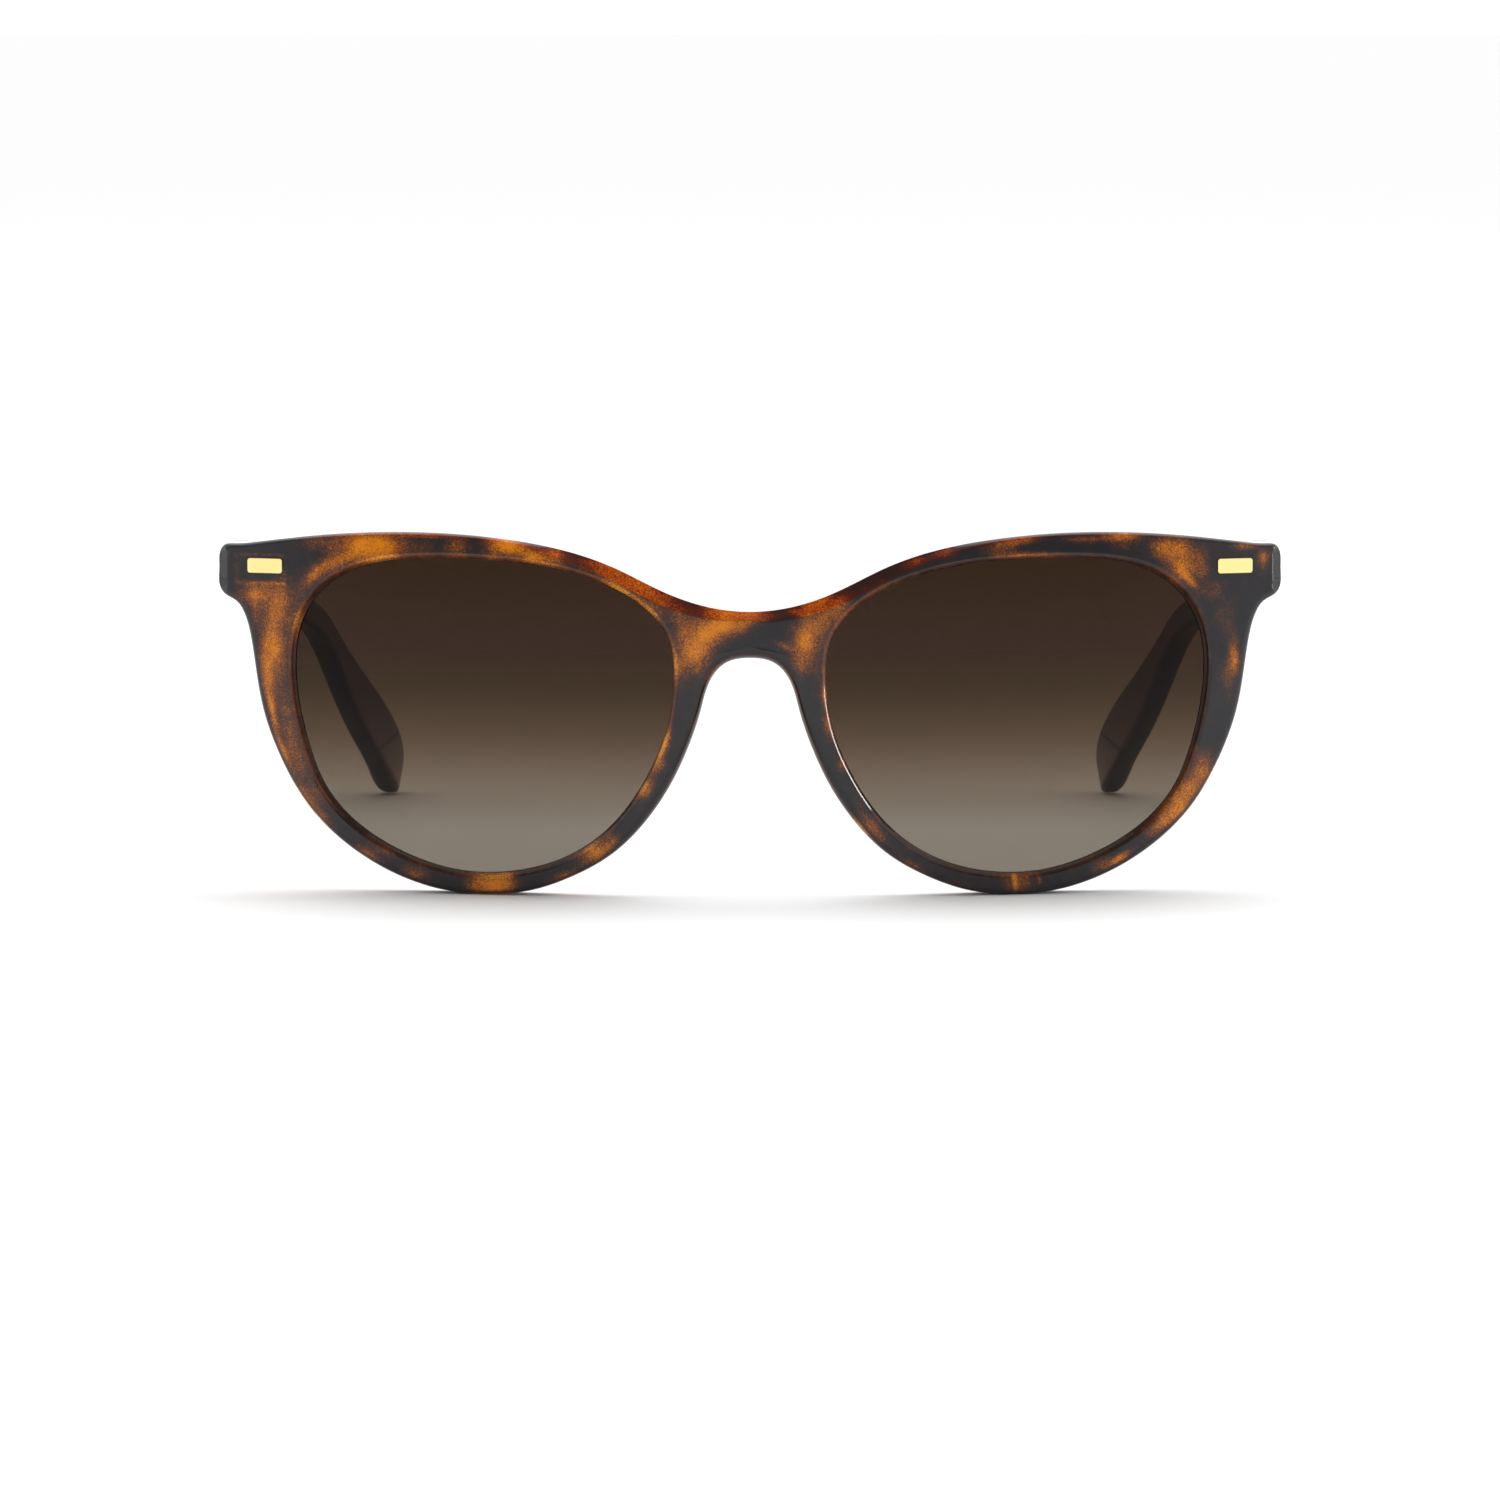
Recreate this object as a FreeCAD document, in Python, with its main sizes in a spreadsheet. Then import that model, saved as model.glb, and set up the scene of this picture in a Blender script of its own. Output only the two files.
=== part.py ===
import FreeCAD, Part
import math
import os

# Cat eye sunglasses, millimetres. +X is the wearer's left, +Y runs back along the temples, +Z is up.
# The pair stands open on its rims and temple tips. The origin is on the table, under the middle of the box
# round the open pair. Pieces are built on the wearer's left and mirrored, and move back by front_shift.

V = FreeCAD.Vector

SIZES = {
    # front
    "front_shift": -69.5,         # where the foremost point of the front stands along Y
    "wrap_radius": 200.0,         # the front is part of a ball of this radius
    "mid_height": 24.2,           # height of the lens centre and of the ball's centre
    "front_thick": 4.2,           # rim thickness, front to back
    "prism_length": 40.0,         # depth of the cutting prisms, any value past the front's depth
    # end pieces, behind the rim
    "butt_depth": 22.0,           # back face of the end piece
    "end_start": 14.6,
    "end_inner": 61.2,
    "end_outer": 73.0,
    "end_low": 39.8,
    "end_high": 46.6,
    # nose pads, moulded in one with the rims
    "pad_place": 10.9,
    "pad_start": 2.6,
    "pad_deep": 6.4,
    "pad_height": 20.5,
    "pad_half_length": 9.0,
    "pad_half_width": 2.6,
    "pad_lean": -22.4,
    # lenses
    "groove_depth": 0.7,          # how far the groove enters the rim
    "lens_edge": 0.66,            # how far the lens enters the groove
    "bed_front_radius": 198.79,   # groove walls, as balls round the same centre
    "bed_back_radius": 196.81,
    "lens_front_radius": 198.75,
    "lens_back_radius": 196.85,
    # corner plaques
    "plaque_place": 65.32,
    "plaque_height": 43.75,
    "plaque_front": 10.95,
    "plaque_length": 5.0,
    "plaque_tall": 1.95,
    "plaque_thick": 1.2,
    "plaque_turn": 19.0,
    "plaque_round": 0.35,
    # hinges
    "axis_place": 65.2,           # hinge axis, from the middle
    "axis_depth": 23.7,           # hinge axis, behind the foremost point
    "knuckle_radius": 1.35,
    "knuckle_tall": 1.3,
    "low_knuckle": 41.29,         # undersides of the three knuckles, 0.06 apart
    "mid_knuckle": 42.65,
    "top_knuckle": 44.01,
    "screw_radius": 0.6,
    "screw_clear_radius": 0.64,
    "screw_foot": 41.0,
    "screw_length": 4.31,
    "screw_head_base": 45.31,
    "screw_head_radius": 1.05,
    "screw_head_tall": 0.65,
    "slot_width": 0.3,
    "slot_depth": 0.3,
    "front_plate_inner": 62.6,
    "front_plate_length": 7.0,
    "front_plate_low": 41.2,
    "front_plate_tall": 4.2,
    "plate_thick": 0.9,
    "temple_plate_start": 22.6,
    "temple_plate_length": 7.4,
    "temple_plate_low": 41.3,
    "temple_plate_tall": 3.0,
    # temples
    "butt_gap": 0.15,             # daylight between the end piece and the open temple
    "temple_inner": 67.2,         # inner face of the temple at the hinge
    "temple_thick": 4.0,
    "temple_tall": 5.6,
    "hinge_height": 43.2,         # middle of the temple at the hinge
    "core_thick": 1.1,
    "core_tall": 2.2,
    "tip_depth": 131.0,           # a point on the parting plane of the tip
    "tip_height": 9.0,
    "tip_tilt": 12.0,             # rise of the parting plane towards the back, degrees
    "parting_block_inner": 30.0,  # the block below that plane starts here, from the middle
    "parting_block_size": 80.0,
}

# The outline of the front's left half as seen from straight ahead, (from the middle, above the table),
# from the middle of the bridge's underside round the rim and the end piece to the middle of its top.
FRONT_OUTLINE = [(0, 32.1), (3.2, 31.45), (5.07, 29.5), (6.53, 25.2), (8.33, 19.9), (10.6, 15.1), (14.0, 10.1),
                 (18.1, 6), (23.55, 2.75), (29, 0.75), (35.2, 0), (41.3, 0.5), (47, 2.2), (54.1, 6.25),
                 (59.5, 11.5), (63.25, 17.9), (65.6, 24.3), (66.75, 30.7), (67.3, 34.2), (68.2, 37.3),
                 (69.4, 38.95), (70.9, 39.8), (71.55, 40.8), (71.65, 43.3), (71.5, 45.6), (71.0, 46.35),
                 (69.6, 46.6), (66, 46.95), (57, 48.05), (45, 48.6), (33, 47.85), (24, 46.15), (18, 44.05),
                 (12, 41.15), (6, 39.05), (0, 38.35)]
OUTLINE_JOINTS = [(35.2, 0), (71.65, 43.3)]   # where the outline is parted into edges, besides the middle

# The left lens opening, from its outermost point over the top and round.
LENS_OPENING = [(61.6, 30.7), (60.9, 35.8), (58.3, 40.4), (53.3, 43.75), (45.5, 45.2), (36, 45.2),
                (28.0, 44.45), (20.5, 42.45), (14.2, 39.0), (10.9, 34.8), (10.15, 29.3), (11.2, 22.2),
                (13.8, 16.1), (18.4, 9.6), (24.85, 5.0), (32.25, 2.96), (39.7, 3.1), (46.8, 5.3),
                (52.6, 8.7), (57.1, 13.4), (60.0, 20.3)]

# Stations of the temple after the hinge: centre (x, y, z), thickness and height of the section.
TEMPLE_STATIONS = [
    (69.0, 33.0, 41.2, 3.9, 6.1),
    (68.3, 50.0, 38.1, 3.7, 5.6),
    (66.8, 72.0, 34.4, 3.5, 4.8),
    (64.9, 90.0, 31.2, 3.5, 4.1),
    (63.4, 104.0, 27.7, 3.5, 4.2),
    (61.3, 114.5, 21.5, 3.5, 5.3),
    (58.1, 123.5, 13.8, 3.6, 7.5),
    (55.5, 131.0, 7.6, 3.6, 8.4),
    (54.5, 135.6, 3.5, 3.4, 7.2),
    (54.2, 137.3, 2.0, 2.4, 5.0),
]
CORE_STATIONS = slice(1, 10)      # the core wire runs between these temple stations

doc = FreeCAD.newDocument("cat_eye_sunglasses")
sheet = doc.addObject("Spreadsheet::Sheet", "sizes")
for row, (alias, value) in enumerate(SIZES.items(), start=1):
    sheet.set(f"A{row}", alias)
    sheet.set(f"B{row}", str(value))
    sheet.setAlias(f"B{row}", alias)
doc.recompute()


def bind(thing, **expressions):
    """Ties properties to the sheet; x, y and z stand for the placement's position."""
    for name, expression in expressions.items():
        path = f"Placement.Base.{name}" if name in ("x", "y", "z") else name
        thing.setExpression(path, expression)
    return thing


def box(name, **expressions):
    return bind(doc.addObject("Part::Box", name), **expressions)


def cylinder(name, **expressions):
    return bind(doc.addObject("Part::Cylinder", name), **expressions)


def join(name, *pieces):
    whole = doc.addObject("Part::MultiFuse", name)
    whole.Shapes = list(pieces)
    return whole


def cut(name, base, tool):
    rest = doc.addObject("Part::Cut", name)
    rest.Base = base
    rest.Tool = tool
    return rest


def common(name, *pieces):
    shared = doc.addObject("Part::MultiCommon", name)
    shared.Shapes = list(pieces)
    return shared


def mirror(name, source):
    twin = doc.addObject("Part::Mirroring", name)
    twin.Source = source
    twin.Base = V(0, 0, 0)
    twin.Normal = V(1, 0, 0)
    return twin


def feature(name, shape):
    thing = doc.addObject("Part::Feature", name)
    thing.Shape = shape
    return thing


def closed_curve(points):
    """A smooth closed curve in the XZ plane through points given as (x, z)."""
    spline = Part.BSplineCurve()
    spline.interpolate(Points=[V(x, 0, z) for x, z in points], PeriodicFlag=True)
    return spline


def prism(name, wire):
    """The wire filled and pushed back along Y."""
    solid = doc.addObject("Part::Extrusion", name)
    solid.Base = wire
    solid.DirMode = "Custom"
    solid.Dir = V(0, 1, 0)
    solid.Solid = True
    return bind(solid, LengthFwd="sizes.prism_length")


def ball(name, radius):
    sphere = doc.addObject("Part::Sphere", name)
    return bind(sphere, Radius=radius, y="sizes.wrap_radius", z="sizes.mid_height")


def grown_opening(name, amount):
    """The lens opening's outline moved outwards by the amount all round."""
    spline = closed_curve(LENS_OPENING)
    moved = []
    for x, z in LENS_OPENING:
        along = spline.tangent(spline.parameter(V(x, 0, z)))[0]
        moved.append((x + along.z * amount, z - along.x * amount))
    return feature(name, Part.Wire([closed_curve(moved).toShape()]))


def front_outline():
    """The closed outline, parted at the middle, the foot and the corner of each half."""
    right = [(-x, z) for x, z in FRONT_OUTLINE[-2:0:-1]]
    spline = closed_curve(FRONT_OUTLINE + right)
    joints = OUTLINE_JOINTS + [FRONT_OUTLINE[-1]] + [(-x, z) for x, z in reversed(OUTLINE_JOINTS)]
    places = [spline.parameter(V(x, 0, z)) for x, z in joints]
    ends = [spline.FirstParameter] + places + [spline.LastParameter]
    edges = [spline.toShape(start, end) for start, end in zip(ends, ends[1:])]
    return feature("front_outline", Part.Wire(edges))


def nose_pad():
    """An elliptical boss behind the nasal rim, leaning with it."""
    edge = doc.addObject("Part::Ellipse", "left_pad_edge")
    bind(edge, MajorRadius="sizes.pad_half_length", MinorRadius="sizes.pad_half_width")
    bind(edge, x="sizes.pad_place", y="sizes.pad_start", z="sizes.pad_height")
    lean = math.radians(sheet.pad_lean)
    along = V(math.sin(lean), 0, math.cos(lean))
    edge.Placement.Rotation = FreeCAD.Rotation(along, V(0, 0, 0), V(0, -1, 0), "XZY")
    pad = doc.addObject("Part::Extrusion", "left_pad_form")
    pad.Base = edge
    pad.DirMode = "Custom"
    pad.Dir = V(0, 1, 0)
    pad.Solid = True
    return bind(pad, LengthFwd="sizes.pad_deep")


def end_block(front_prism):
    """The part of an end piece that stands behind the rim and carries the hinge."""
    block = box(
        "left_end_box",
        Length="sizes.end_outer - sizes.end_inner",
        Width="sizes.butt_depth - sizes.end_start",
        Height="sizes.end_high - sizes.end_low",
        x="sizes.end_inner",
        y="sizes.end_start",
        z="sizes.end_low",
    )
    return common("left_end_block", block, front_prism)


def lens():
    edge = grown_opening("lens_outline", sheet.lens_edge)
    shape = common("lens_blank", prism("lens_prism", edge), ball("lens_front_ball", "sizes.lens_front_radius"))
    return cut("left_lens", shape, ball("lens_back_ball", "sizes.lens_back_radius"))


def lens_bed():
    edge = grown_opening("bed_outline", sheet.groove_depth)
    shape = common("bed_blank", prism("bed_prism", edge), ball("bed_front_ball", "sizes.bed_front_radius"))
    return cut("left_bed", shape, ball("bed_back_ball", "sizes.bed_back_radius"))


def plaque():
    """A small bar with rounded edges, let into the end piece and turned to lie along the curved front."""
    bar = doc.addObject("Part::Box", "plaque_bar")
    bind(bar, Length="sizes.plaque_length", Width="sizes.plaque_thick", Height="sizes.plaque_tall")
    bind(bar, x="sizes.plaque_place - sizes.plaque_length / 2 * cos(sizes.plaque_turn * 1 deg)")
    bind(bar, y="sizes.plaque_front", z="sizes.plaque_height - sizes.plaque_tall / 2")
    bar.Placement.Rotation = FreeCAD.Rotation(V(0, 0, 1), sheet.plaque_turn)
    doc.recompute()
    rounded = doc.addObject("Part::Fillet", "left_corner_plaque")
    rounded.Base = bar
    deep = [i for i, edge in enumerate(bar.Shape.Edges, start=1) if is_along_depth(edge)]
    rounded.Edges = [(i, sheet.plaque_round, sheet.plaque_round) for i in deep]
    return rounded


def is_along_depth(edge):
    return abs(edge.tangentAt(edge.FirstParameter).y) > 0.9


def knuckle(name, foot, bore):
    """One hinge knuckle and its bore."""
    barrel = cylinder(
        f"{name}_barrel",
        Radius="sizes.knuckle_radius",
        Height="sizes.knuckle_tall",
        x="sizes.axis_place",
        y="sizes.axis_depth",
        z=foot,
    )
    hole = cylinder(
        f"{name}_bore",
        Radius=bore,
        Height="sizes.knuckle_tall",
        x="sizes.axis_place",
        y="sizes.axis_depth",
        z=foot,
    )
    return barrel, hole


def front_hinge():
    plate = box(
        "front_plate",
        Length="sizes.front_plate_length",
        Width="sizes.plate_thick",
        Height="sizes.front_plate_tall",
        x="sizes.front_plate_inner",
        y="sizes.butt_depth - sizes.plate_thick",
        z="sizes.front_plate_low",
    )
    solids = [plate]
    bores = []
    for name, bore in (("low_knuckle", "sizes.screw_radius"), ("top_knuckle", "sizes.screw_clear_radius")):
        barrel, hole = knuckle(name, f"sizes.{name}", bore)
        arm = box(
            f"{name}_arm",
            Length="2 * sizes.knuckle_radius",
            Width="sizes.axis_depth - sizes.butt_depth + sizes.plate_thick / 2",
            Height="sizes.knuckle_tall",
            x="sizes.axis_place - sizes.knuckle_radius",
            y="sizes.butt_depth - sizes.plate_thick / 2",
            z=f"sizes.{name}",
        )
        solids += [barrel, arm]
        bores.append(hole)
    return cut("left_front_hinge", join("front_hinge_blank", *solids), join("front_hinge_bores", *bores))


def temple_hinge():
    plate = box(
        "temple_plate",
        Length="sizes.plate_thick",
        Width="sizes.temple_plate_length",
        Height="sizes.temple_plate_tall",
        x="sizes.temple_inner",
        y="sizes.temple_plate_start",
        z="sizes.temple_plate_low",
    )
    barrel, hole = knuckle("mid_knuckle", "sizes.mid_knuckle", "sizes.screw_clear_radius")
    arm = box(
        "mid_knuckle_arm",
        Length="sizes.temple_inner - sizes.axis_place + sizes.plate_thick / 2",
        Width="2 * sizes.knuckle_radius",
        Height="sizes.knuckle_tall",
        x="sizes.axis_place",
        y="sizes.axis_depth - sizes.knuckle_radius",
        z="sizes.mid_knuckle",
    )
    return cut("left_temple_hinge", join("temple_hinge_blank", plate, barrel, arm), hole)


def screw():
    shank = cylinder(
        "screw_shank",
        Radius="sizes.screw_radius",
        Height="sizes.screw_length",
        x="sizes.axis_place",
        y="sizes.axis_depth",
        z="sizes.screw_foot",
    )
    head = cylinder(
        "screw_head",
        Radius="sizes.screw_head_radius",
        Height="sizes.screw_head_tall",
        x="sizes.axis_place",
        y="sizes.axis_depth",
        z="sizes.screw_head_base",
    )
    slot = box(
        "screw_slot",
        Length="2 * sizes.screw_head_radius",
        Width="sizes.slot_width",
        Height="sizes.slot_depth",
        x="sizes.axis_place - sizes.screw_head_radius",
        y="sizes.axis_depth - sizes.slot_width / 2",
        z="sizes.screw_head_base + sizes.screw_head_tall - sizes.slot_depth",
    )
    return cut("left_hinge_screw", join("screw_blank", shank, head), slot)


def rounded_section(centre, direction, thick, tall, corner):
    """A rounded rectangle across the given direction, its thickness level and its height upright."""
    across = V(direction.y, -direction.x, 0).normalize()
    up = across.cross(direction).normalize()
    edges = []
    for turn in range(4):
        half = math.radians(90 * turn)
        side = V(math.cos(half), math.sin(half), 0)
        nextside = V(-side.y, side.x, 0)
        reach = (thick / 2, tall / 2)[turn % 2]
        width = (tall / 2, thick / 2)[turn % 2]
        # one straight side, then the quarter arc to the next side
        first = side * reach - nextside * (width - corner)
        last = side * reach + nextside * (width - corner)
        middle = side * (reach - corner) + nextside * (width - corner)
        bulge = middle + (side + nextside) * (corner * math.sqrt(0.5))
        arrive = side * (reach - corner) + nextside * width
        edges.append(Part.LineSegment(first, last).toShape())
        edges.append(Part.Arc(last, bulge, arrive).toShape())
    wire = Part.Wire(edges)
    wire.transformShape(FreeCAD.Matrix(
        across.x, up.x, direction.x, centre.x,
        across.y, up.y, direction.y, centre.y,
        across.z, up.z, direction.z, centre.z,
        0, 0, 0, 1,
    ))
    return wire


def temple_stations():
    """All stations as (centre, direction, thickness, height); the first stands square to the end piece."""
    start = V(
        sheet.temple_inner + sheet.temple_thick / 2,
        sheet.butt_depth + sheet.butt_gap,
        sheet.hinge_height,
    )
    centres = [start] + [V(x, y, z) for x, y, z, _, _ in TEMPLE_STATIONS]
    sizes = [(sheet.temple_thick, sheet.temple_tall)] + [row[3:] for row in TEMPLE_STATIONS]
    line = Part.BSplineCurve()
    line.interpolate(Points=centres)
    directions = [V(line.tangent(line.parameter(point))[0]) for point in centres]
    directions[0] = V(0, 1, 0)
    return [(c, d, *size) for c, d, size in zip(centres, directions, sizes)]


def loft(name, sections):
    solid = doc.addObject("Part::Loft", name)
    solid.Sections = sections
    solid.Solid = True
    solid.Ruled = False
    return solid


def below_parting_plane():
    """A block whose top is the tilted plane where the tip meets the arm."""
    size = "sizes.parting_block_size"
    block = box("below_parting", Length=size, Width=size, Height=size)
    turn = FreeCAD.Rotation(V(1, 0, 0), sheet.tip_tilt)
    on_plane = V(sheet.parting_block_inner, sheet.tip_depth, sheet.tip_height)
    corner = turn.multVec(V(0, -sheet.parting_block_size / 2, -sheet.parting_block_size))
    block.Placement = FreeCAD.Placement(on_plane + corner, turn)
    return block


def temple(stations, hinge):
    """The arm and the tip, parted by a tilted plane, both hollowed for the core wire."""
    outer = []
    for i, (centre, direction, thick, tall) in enumerate(stations):
        corner = 0.3 * thick
        outer.append(feature(f"temple_section_{i}", rounded_section(centre, direction, thick, tall, corner)))
    blank = loft("temple_blank", outer)
    inner = []
    for i, (centre, direction, _, _) in enumerate(stations[CORE_STATIONS]):
        section = rounded_section(centre, direction, sheet.core_thick, sheet.core_tall, 0.3)
        inner.append(feature(f"core_section_{i}", section))
    core = loft("left_temple_core", inner)
    below = below_parting_plane()
    hollows = join("temple_hollows", core, hinge, below)
    arm = cut("left_temple_arm", blank, hollows)
    tip = cut("left_temple_tip", common("tip_blank", blank, below), core)
    return arm, tip, core


def build():
    outline = front_outline()
    front_prism = prism("front_prism", outline)
    shell = cut(
        "rim_shell",
        common("rim_blank", front_prism, ball("front_ball", "sizes.wrap_radius")),
        ball("back_ball", "sizes.wrap_radius - sizes.front_thick"),
    )
    block = end_block(front_prism)
    pad = nose_pad()
    solid_front = join(
        "solid_front", shell, block, mirror("right_end_block", block), pad, mirror("right_pad_form", pad)
    )
    hinge = front_hinge()
    badge = plaque()
    opening = prism("opening_prism", grown_opening("opening_outline", 0))
    left_tools = [opening, lens_bed(), hinge, badge]
    right_tools = [mirror(f"right_{tool.Name}_tool", tool) for tool in left_tools]
    front = cut("front_frame", solid_front, join("front_hollows", *left_tools, *right_tools))
    arm_hinge = temple_hinge()
    arm, tip, core = temple(temple_stations(), arm_hinge)
    left = [lens(), badge, hinge, screw(), arm, arm_hinge, core, tip]
    pairs = [(piece, mirror(piece.Name.replace("left_", "right_"), piece)) for piece in left]
    return [front] + [piece for pair in pairs for piece in pair]


def export(nodes):
    doc.recompute()
    failed = [thing.Name for thing in doc.Objects if {"Invalid", "Error"} & set(thing.State)]
    if failed:
        raise RuntimeError(f"these objects failed: {failed}")
    os.makedirs("parts", exist_ok=True)
    for node in nodes:
        shape = node.Shape.copy()
        if shape.isNull() or not shape.isValid() or not shape.Solids:
            raise RuntimeError(f"{node.Label} has no valid solid")
        if len(shape.Solids) == 1:
            shape = shape.Solids[0]
        shape.translate(V(0, sheet.front_shift, 0))
        shape.exportStep(f"parts/{node.Label}.step")
        print(f"{node.Label}: {shape.Volume:.1f} mm3")


export(build())
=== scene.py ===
"""Cat eye sunglasses: the visual model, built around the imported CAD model.

Points are worked out in millimetres, with x across from the middle of the face, y back from the
foremost point of the front and z up from the table. to_frame() turns them into the frame's metres.
"""

import math

import bpy
import numpy as np
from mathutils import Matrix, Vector


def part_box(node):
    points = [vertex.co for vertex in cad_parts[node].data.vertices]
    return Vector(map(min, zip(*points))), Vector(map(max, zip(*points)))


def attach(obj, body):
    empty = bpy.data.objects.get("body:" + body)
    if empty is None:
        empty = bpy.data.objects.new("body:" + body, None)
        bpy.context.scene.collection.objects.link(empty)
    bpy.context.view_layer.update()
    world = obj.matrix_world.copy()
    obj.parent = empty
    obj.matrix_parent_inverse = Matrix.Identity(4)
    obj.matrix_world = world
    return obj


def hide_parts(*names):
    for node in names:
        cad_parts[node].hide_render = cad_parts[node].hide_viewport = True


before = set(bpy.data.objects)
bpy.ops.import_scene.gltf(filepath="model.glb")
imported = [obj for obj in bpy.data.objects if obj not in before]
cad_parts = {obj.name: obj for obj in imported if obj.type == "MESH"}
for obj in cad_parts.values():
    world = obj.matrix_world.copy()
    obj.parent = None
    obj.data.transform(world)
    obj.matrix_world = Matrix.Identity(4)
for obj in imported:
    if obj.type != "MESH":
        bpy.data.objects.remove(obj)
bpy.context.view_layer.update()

MM = 0.001

# Where the foremost point of the front stands along y, in metres.
FRONT_Y = -0.0695

# The front is cut from a ball: its radius, the height of its middle and the thickness of the front.
WRAP_RADIUS = 200.0
WRAP_MIDDLE = 24.2
FRONT_THICK = 4.2

# Half of the outline of the front, from the underside of the bridge round to its top: x, z.
OUTLINE = [
    (0, 32.1), (3.2, 31.45), (5.07, 29.5), (6.53, 25.2), (8.33, 19.9), (10.6, 15.1), (14.0, 10.1),
    (18.1, 6), (23.55, 2.75), (29, 0.75), (35.2, 0), (41.3, 0.5), (47, 2.2), (54.1, 6.25),
    (59.5, 11.5), (63.25, 17.9), (65.6, 24.3), (66.75, 30.7), (67.3, 34.2), (68.2, 37.3),
    (69.4, 38.95), (70.9, 39.8), (71.55, 40.8), (71.65, 43.3), (71.5, 45.6), (71.0, 46.35),
    (69.6, 46.6), (66, 46.95), (57, 48.05), (45, 48.6), (33, 47.85), (24, 46.15), (18, 44.05),
    (12, 41.15), (6, 39.05), (0, 38.35),
]

# The opening for the lens, all the way round: x, z.
OPENING = [
    (61.6, 30.7), (60.9, 35.8), (58.3, 40.4), (53.3, 43.75), (45.5, 45.2), (36, 45.2),
    (28.0, 44.45), (20.5, 42.45), (14.2, 39.0), (10.9, 34.8), (10.15, 29.3), (11.2, 22.2),
    (13.8, 16.1), (18.4, 9.6), (24.85, 5.0), (32.25, 2.96), (39.7, 3.1), (46.8, 5.3),
    (52.6, 8.7), (57.1, 13.4), (60.0, 20.3),
]


# ---------------------------------------------------------------- curves and surfaces

def closed_spline(points):
    """A smooth closed curve through the points, as a function of its own running length."""
    p = np.array(points, float)
    n = len(p)
    after = np.roll(p, -1, axis=0)
    step = np.linalg.norm(after - p, axis=1)
    before = np.roll(step, 1)
    system = np.zeros((n, n))
    for i in range(n):
        system[i, (i - 1) % n] = 1 / before[i]
        system[i, i] = 2 * (1 / before[i] + 1 / step[i])
        system[i, (i + 1) % n] = 1 / step[i]
    rise = (after - p) / step[:, None] ** 2
    slope = np.linalg.solve(system, 3 * (np.roll(rise, 1, axis=0) + rise))
    knots = np.concatenate([[0], np.cumsum(step)])

    def at(length):
        length = np.mod(length, knots[-1])
        i = np.clip(np.searchsorted(knots, length, side="right") - 1, 0, n - 1)
        t = ((length - knots[i]) / step[i])[:, None]
        h = step[i][:, None]
        j = (i + 1) % n
        return (
            p[i] * (1 + 2 * t) * (1 - t) ** 2
            + p[j] * t * t * (3 - 2 * t)
            + slope[i] * h * t * (1 - t) ** 2
            + slope[j] * h * t * t * (t - 1)
        )

    return at, knots[-1]


def running_length(curve):
    """The distance along a line of points to each of them."""
    return np.concatenate([[0], np.cumsum(np.linalg.norm(np.diff(curve, axis=0), axis=1))])


def at_length(curve, wanted):
    """Points on a line of points at the wanted distances along it."""
    length = running_length(curve)
    return np.stack([np.interp(wanted, length, curve[:, k]) for k in range(curve.shape[1])], axis=1)


def blurred(padded, spread, reach):
    """Values blurred along their order, less the padding that reaches past both ends of them."""
    weight = np.exp(-0.5 * (np.arange(-reach, reach + 1) / spread) ** 2)
    return np.convolve(padded, weight / weight.sum(), mode="valid")


def smoothed(values, spread):
    """The values blurred along their order, with the ends held."""
    reach = int(3 * spread)
    return blurred(np.pad(values, reach, mode="reflect", reflect_type="odd"), spread, reach)


def ring_smoothed(values, spread):
    """The values of a ring blurred along their order."""
    reach = int(4 * spread)
    return blurred(np.pad(values, reach, mode="wrap"), spread, reach)


def smoothstep(low, high, value):
    """0 up to low and 1 from high on, with a smooth rise between; low may be the larger one."""
    t = np.clip((value - low) / (high - low), 0, 1)
    return t * t * (3 - 2 * t)


def hill(value, middle, reach):
    """1 at the middle, falling smoothly to 0 at reach to either side."""
    t = np.clip(np.abs(value - middle) / reach, 0, 1)
    return (1 - t * t) ** 2


def ball_y(x, z, depth):
    """How far back the ball lies that is depth inside the front's own."""
    return WRAP_RADIUS - np.sqrt((WRAP_RADIUS - depth) ** 2 - x * x - (z - WRAP_MIDDLE) ** 2)


def to_frame(points):
    """Millimetres in the object's own measure, as metres in the frame."""
    moved = np.array(points, float) * MM
    moved[:, 1] += FRONT_Y
    return moved


# ---------------------------------------------------------------- the plastic front

# How finely the outline is divided: the widest gap between points, how many there are to a radian
# of turning, the steps that this is worked out on, and how many of them each blur spreads over.
POINT_GAP = 0.6
POINTS_PER_RADIAN = 6.0
OUTLINE_STEPS = 12000
TURN_BLUR = 20
GAP_BLUR = 40
NORMAL_BLUR = 12

# A height between the underside of the bridge and its top.
BRIDGE_HEIGHT = 36

# The points on the opening follow those on the outline: the steps that this is worked out on,
# how many points the match is blurred over, and how far each moves on at least, in shares of
# an even pace.
OPENING_STEPS = 6000
MATCH_BLUR = 5
MATCH_LEAST = 0.12

# Rows of points across the bridge and over each part of the surface.
BRIDGE_STEPS = 10
FACE_STEPS = 18
EDGE_STEPS = 8
WALL_STEPS = 7
REAR_STEPS = 3
BACK_STEPS = 26

# The deep block behind an end piece: where it starts across and up, its top and its back.
END_START_X = (60.5, 62.3)
END_START_Z = (38.8, 40.3)
END_TOP = 46.5
END_DEPTH = 21.93

# The lip in front of the lens: how deep it reaches, how it slants, where its rows are, and how
# deep it starts in shares of the bevel. Its seat for the lens is a share of its width and depth.
LIP_DEPTH = 1.22
LIP_SLANT = 1.5
LIP_ROWS = (0.35, 0.7, 0.95)
LIP_FRONT = 1.2
SEAT_WIDTH = 0.22
SEAT_RISE = 0.85

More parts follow.
